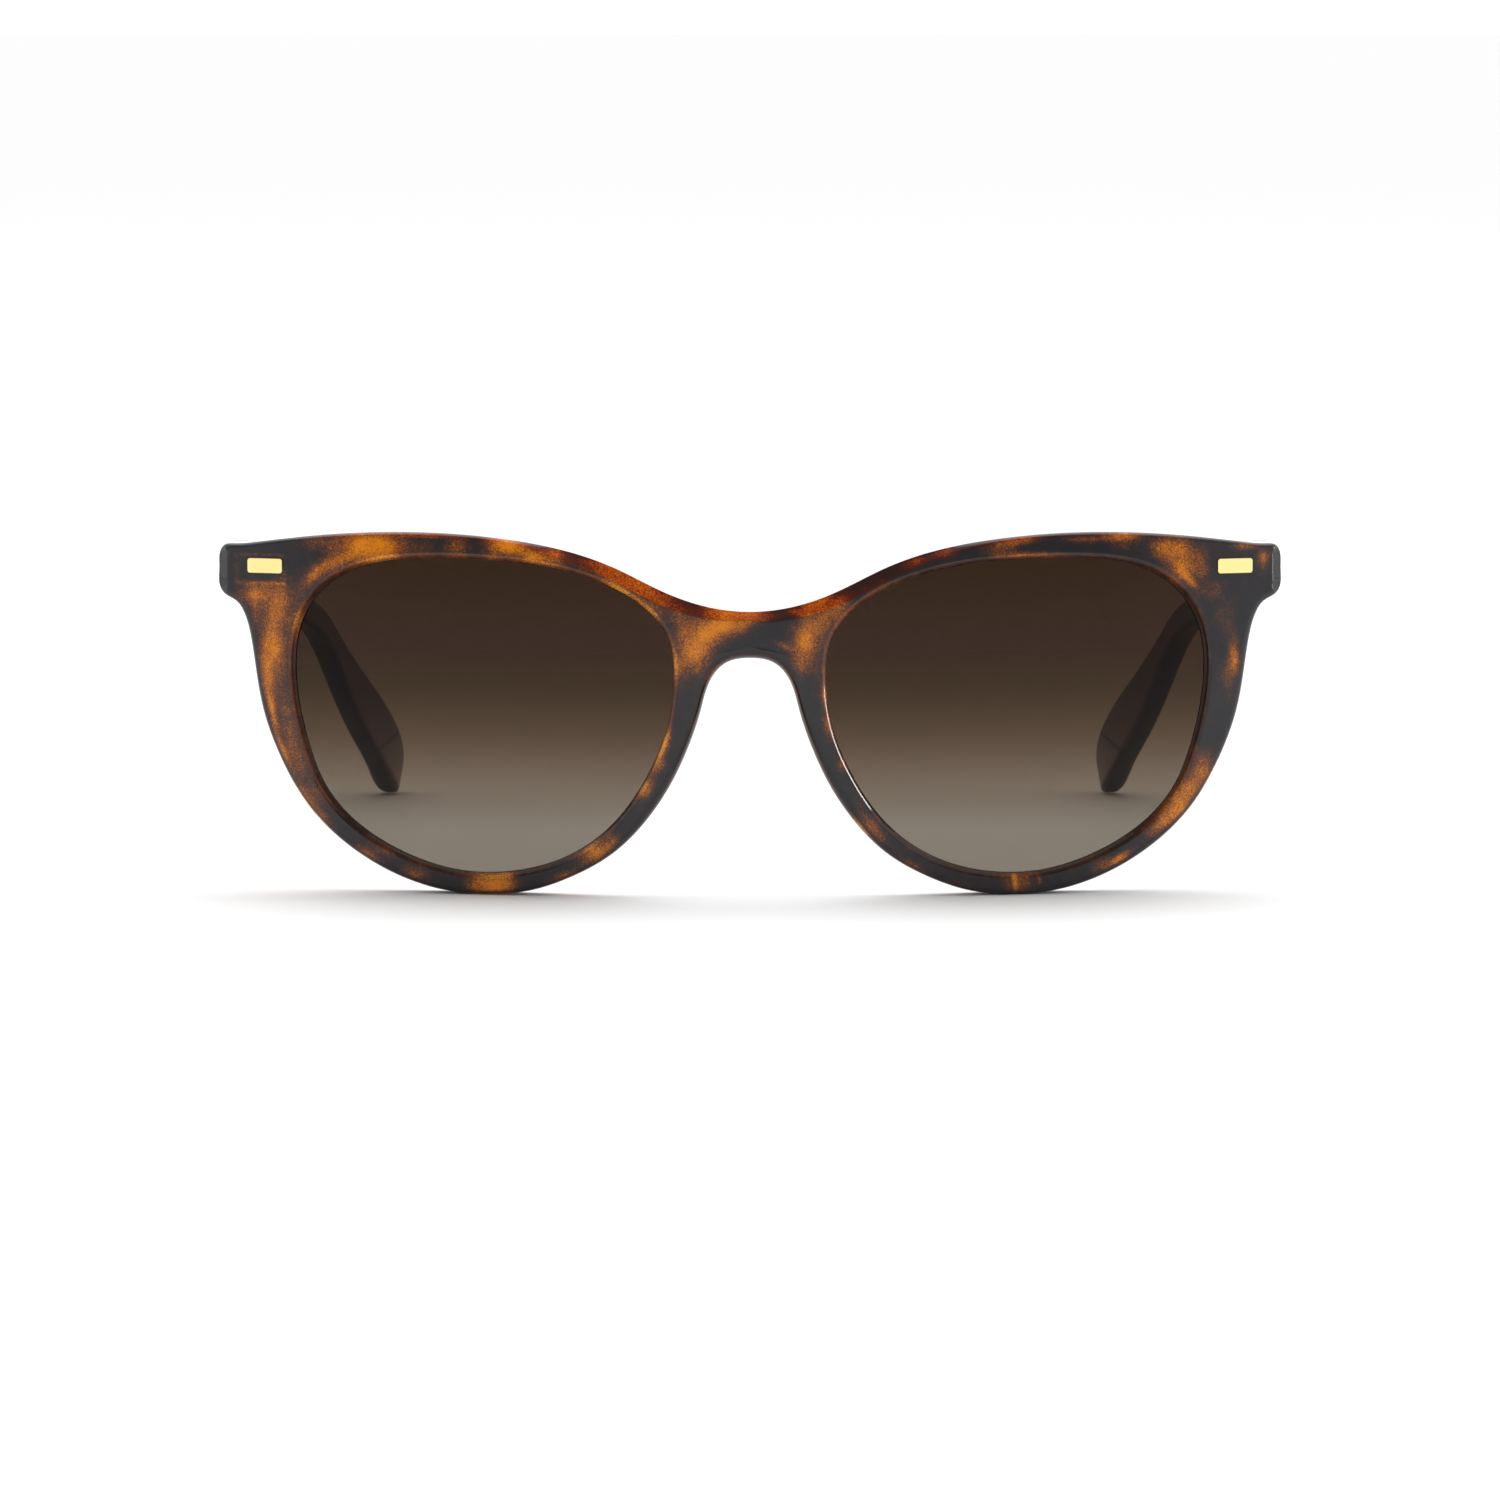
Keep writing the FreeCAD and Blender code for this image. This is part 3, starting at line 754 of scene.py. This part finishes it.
def havana():
    """Glossy tortoiseshell plastic: amber patches with grainy edges in smoky grey-brown."""
    n = Nodes("havana_plastic")
    amber = n.attribute("amber")
    drift = n.math("MULTIPLY", n.math("SUBTRACT", n.noise(DRIFT_SCALE, 4, 0.62), 0.5), DRIFT)
    plate = n.math("MULTIPLY", n.attribute("plate"), PLATE_GLOW)
    moved = n.math("ADD", n.math("ADD", amber, drift), plate, clamp=True)
    between = n.math("MULTIPLY", moved, n.math("SUBTRACT", 1.15, moved))
    grain = n.math("SUBTRACT", n.noise(SPECK_SCALE, 2, 0.7), 0.5)
    speckle = n.math("MULTIPLY", n.math("MULTIPLY", grain, between), SPECKS)
    amount = n.math("ADD", moved, speckle, clamp=True)
    colour = n.ramp(amount, HAVANA_FACE)
    colour = n.mix(n.attribute("facet"), colour, n.ramp(amount, HAVANA_FACET))
    through = n.ramp(amount, HAVANA_LIP)
    # Painted light: lip, bevel, edge back and side wall take the colours of light shining through.
    colour = n.mix(n.attribute("lip"), colour, through)
    colour = n.mix(n.attribute("glow"), colour, through)
    # Painted shade on the rounded outer edge, in the darkest smoky colour.
    colour = n.mix(n.attribute("shade"), colour, HAVANA_FACE[0][1])
    # Painted shade: the groove and the seat of the lens go near black.
    colour = n.mix(n.attribute("dark"), colour, GROOVE_PAINTED_SHADE)
    shader = n.add("ShaderNodeBsdfPrincipled")
    n.link(colour, shader.inputs["Base Color"])
    shader.inputs["Roughness"].default_value = 0.06
    shader.inputs["IOR"].default_value = 1.4
    return n.finish(shader)


# What one face of the lens lets through, from the bottom of the lens to its top.
LENS_TINTS = [
    (0.03, (0.44, 0.41, 0.37)), (0.15, (0.435, 0.405, 0.365)), (0.305, (0.365, 0.318, 0.272)),
    (0.43, (0.275, 0.222, 0.177)), (0.583, (0.190, 0.144, 0.100)), (0.70, (0.174, 0.126, 0.095)),
    (0.89, (0.168, 0.121, 0.090)),
]

# The share that the lens mirrors, seen straight on and at a grazing angle.
MIRROR_AHEAD = 0.012
MIRROR_GRAZING = 0.6


def tinted_lens(low, high):
    """Brown graduated lens: clearer towards the bottom, and a little of a mirror."""
    n = Nodes("lens_tint")
    level = n.add("ShaderNodeMapRange")
    level.inputs["From Min"].default_value = low
    level.inputs["From Max"].default_value = high
    n.link(n.axes("Object")["Z"], level.inputs["Value"])
    clear = n.add("ShaderNodeBsdfTransparent")
    n.link(n.ramp(level.outputs[0], LENS_TINTS), clear.inputs["Color"])
    mirror = n.add("ShaderNodeBsdfGlossy")
    mirror.inputs["Roughness"].default_value = 0.02
    turned = n.add("ShaderNodeLayerWeight").outputs["Facing"]
    share = n.math("MULTIPLY", n.math("POWER", turned, 5.0), MIRROR_GRAZING)
    both = n.add("ShaderNodeMixShader")
    n.link(n.math("ADD", share, MIRROR_AHEAD), both.inputs[0])
    n.link(clear.outputs[0], both.inputs[1])
    n.link(mirror.outputs[0], both.inputs[2])
    return n.finish(both)


def metal(name, colour, roughness, grain):
    """Metal with a faint grain: scale per metre, share of the colour, depth in metres."""
    n = Nodes(name)
    shader = n.add("ShaderNodeBsdfPrincipled")
    shader.inputs["Roughness"].default_value = roughness
    shader.inputs["Metallic"].default_value = 1.0
    scale, share, depth = grain
    noise = n.noise(scale, 3)
    tuned = n.ramp(noise, [
        (0.3, tuple(c * (1 - share) for c in colour)),
        (0.7, tuple(c * (1 + share) for c in colour)),
    ])
    n.link(tuned, shader.inputs["Base Color"])
    n.link(n.bump(noise, depth), shader.inputs["Normal"])
    return n.finish(shader)


# The plane where the tip joins on: a point (y, z) on it, its rise to the back in degrees, and half
# the width of the crease there.
TIP_JOINT = (131.0, 9.0)
TIP_TILT = 12.0
CREASE = 0.19

# The plastic of the temples, its painted shade underneath and the crease's painted shade, how far
# down a surface faces to get the painted shade, from its start to its full strength, and the scale
# of the grain per metre.
PLUM = (0.165, 0.105, 0.115)
PLUM_PAINTED_SHADE = (0.020, 0.013, 0.014)
PAINTED_CREASE_SHADE = (0.003, 0.002, 0.002)
PAINTED_SHADE_FACING = (-0.15, -0.6)
PLUM_GRAIN = 2600


def plum_plastic():
    """Satin plum plastic of the temples, darker underneath with painted shade, and a crease where
    the tip joins, bumped in and painted near black as shade.
    """
    n = Nodes("plum_plastic")
    _, along, up = n.axes("Object")
    slope = math.tan(math.radians(TIP_TILT))
    back = n.math("MULTIPLY", n.math("SUBTRACT", along, TIP_JOINT[0] * MM + FRONT_Y), -slope)
    above = n.math("ADD", n.math("SUBTRACT", up, TIP_JOINT[1] * MM), back)
    apart = n.step(n.math("ABSOLUTE", above), CREASE * MM, 2 * CREASE * MM)
    facing = n.add("ShaderNodeSeparateXYZ")
    n.link(n.add("ShaderNodeNewGeometry").outputs["Normal"], facing.inputs[0])
    # Painted shade: the further a surface faces down, the darker the plum it is painted.
    painted_shade = n.step(facing.outputs["Z"], *PAINTED_SHADE_FACING)
    noise = n.noise(PLUM_GRAIN, 3)
    # The crease is painted near black and the underside darker plum, both as painted shade.
    colour = n.mix(apart, PAINTED_CREASE_SHADE, n.mix(painted_shade, PLUM, PLUM_PAINTED_SHADE))
    shader = n.add("ShaderNodeBsdfPrincipled")
    n.link(colour, shader.inputs["Base Color"])
    shader.inputs["Roughness"].default_value = 0.34
    shader.inputs["IOR"].default_value = 1.45
    height = n.math("ADD", n.math("MULTIPLY", noise, 0.02), apart)
    n.link(n.bump(height, 0.0001), shader.inputs["Normal"])
    return n.finish(shader)


def dress(names, material):
    """Gives the material to CAD nodes."""
    for name in names:
        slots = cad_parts[name].data.materials
        slots.clear()
        slots.append(material)


# ---------------------------------------------------------------- the object

SIDES = ("left", "right")


def build_object():
    """The plastic front stands for its CAD node; every other CAD node gets its material."""
    shell = make_front()
    shell.data.materials.append(havana())
    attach(shell, "front")
    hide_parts("front_frame")

    lens_low, lens_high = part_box("left_lens")
    dress([side + "_lens" for side in SIDES], tinted_lens(lens_low.z, lens_high.z))
    gold = metal("pale_gold", (0.97, 0.84, 0.355), 0.3, (9000, 0.02, 0.000004))
    dress([side + "_corner_plaque" for side in SIDES], gold)
    steel = metal("brushed_steel", (0.62, 0.61, 0.60), 0.28, (6000, 0.05, 0.000006))
    dress([side + part for side in SIDES for part in ("_front_hinge", "_temple_hinge")], steel)
    screw = metal("screw_steel", (0.70, 0.69, 0.67), 0.2, (9000, 0.04, 0.000004))
    dress([side + part for side in SIDES for part in ("_hinge_screw", "_temple_core")], screw)
    plum = plum_plastic()
    dress([side + part for side in SIDES for part in ("_temple_arm", "_temple_tip")], plum)


# ---------------------------------------------------------------- the studio

# The camera in front of the foremost point of the front: metres, degrees and millimetres of lens.
CAMERA_AWAY = 0.99503
CAMERA_HEIGHT = 0.118774
CAMERA_PITCH = 5.669
CAMERA_LENS = 180
CAMERA_SENSOR = 36


def build_camera():
    """The camera, straight ahead of the front and pitched down towards the table."""
    data = bpy.data.cameras.new("camera")
    data.lens = CAMERA_LENS
    data.sensor_width = CAMERA_SENSOR
    data.clip_start = 0.01
    data.clip_end = 100
    camera = bpy.data.objects.new("camera", data)
    camera.location = (0, FRONT_Y - CAMERA_AWAY, CAMERA_HEIGHT)
    camera.rotation_euler = (math.radians(90 - CAMERA_PITCH), 0, 0)
    bpy.context.scene.collection.objects.link(camera)
    bpy.context.scene.camera = camera


def soft_box(name, place, aim, size, power):
    """An area light at a place, turned towards its aim, with its size and its power in watts."""
    data = bpy.data.lights.new(name, "AREA")
    data.shape = "RECTANGLE"
    data.size, data.size_y = size
    data.energy = power
    lamp = bpy.data.objects.new(name, data)
    lamp.location = place
    direction = Vector(aim) - Vector(place)
    lamp.rotation_euler = direction.to_track_quat("-Z", "Y").to_euler()
    bpy.context.scene.collection.objects.link(lamp)


# How bright the surroundings are beside the object, behind it and ahead of it, and what the
# camera sees of them past the far edge of the floor.
LIGHT_AROUND = 1.25
LIGHT_BEHIND = 2.05
LIGHT_AHEAD = 0.25
BACKDROP = 1.4

# Where those begin and end, in parts of the direction from the object: ahead, across, up, behind.
AHEAD_FADE = (0.05, -0.25)
ACROSS_FADE = (0.72, 0.5)
UP_FADE = (-0.01, 0.15)
BEHIND_FADE = (-0.2, 0.3)


def studio_world():
    """Bright all round and brightest behind the object, with a dim band ahead of it and above."""
    n = Nodes("studio", bpy.data.worlds)
    across, along, up = n.axes("Generated")
    ahead = n.step(along, *AHEAD_FADE)
    middle = n.step(n.math("ABSOLUTE", across), *ACROSS_FADE)
    dim = n.math("MULTIPLY", n.math("MULTIPLY", ahead, middle), n.step(up, *UP_FADE))
    behind = n.math("MULTIPLY", n.step(along, *BEHIND_FADE), LIGHT_BEHIND - LIGHT_AROUND)
    bright = n.math("ADD", behind, LIGHT_AROUND)
    strength = n.math("ADD", bright, n.math("MULTIPLY", dim, LIGHT_AHEAD - LIGHT_AROUND))
    seen = n.add("ShaderNodeLightPath").outputs["Is Camera Ray"]
    level = n.add("ShaderNodeMix", data_type="FLOAT")
    n.link(seen, level.inputs["Factor"])
    n.link(strength, level.inputs[2])
    level.inputs[3].default_value = BACKDROP
    background = n.add("ShaderNodeBackground")
    n.link(level.outputs[0], background.inputs["Strength"])
    return n.finish(background, "ShaderNodeOutputWorld")


FLOOR_WHITE = (0.92, 0.92, 0.92, 1)
FLOOR_HALF = 30.0


def build_studio():
    """A white floor, the bright surroundings and two soft lights."""
    n = Nodes("floor_white")
    shader = n.add("ShaderNodeBsdfPrincipled")
    shader.inputs["Base Color"].default_value = FLOOR_WHITE
    shader.inputs["Roughness"].default_value = 0.9
    shader.inputs["Specular IOR Level"].default_value = 0.1
    floor_material = n.finish(shader)
    corners = [(FLOOR_HALF * x, FLOOR_HALF * y, 0) for x, y in ((-1, -1), (1, -1), (1, 1), (-1, 1))]
    mesh = bpy.data.meshes.new("floor")
    mesh.from_pydata(corners, [], [(0, 1, 2, 3)])
    mesh.materials.append(floor_material)
    floor = bpy.data.objects.new("floor", mesh)
    bpy.context.scene.collection.objects.link(floor)

    bpy.context.scene.world = studio_world()
    soft_box("top_light", (0, 0.5, 1.6), (0, 0, 0), (1.6, 1.2), 10)
    soft_box("strip_light", (1.3, -0.02, 0.25), (0, 0, 0.03), (0.1, 0.7), 5)
    view = bpy.context.scene.view_settings
    view.view_transform = "Standard"
    view.look = "None"


build_object()
build_camera()
build_studio()
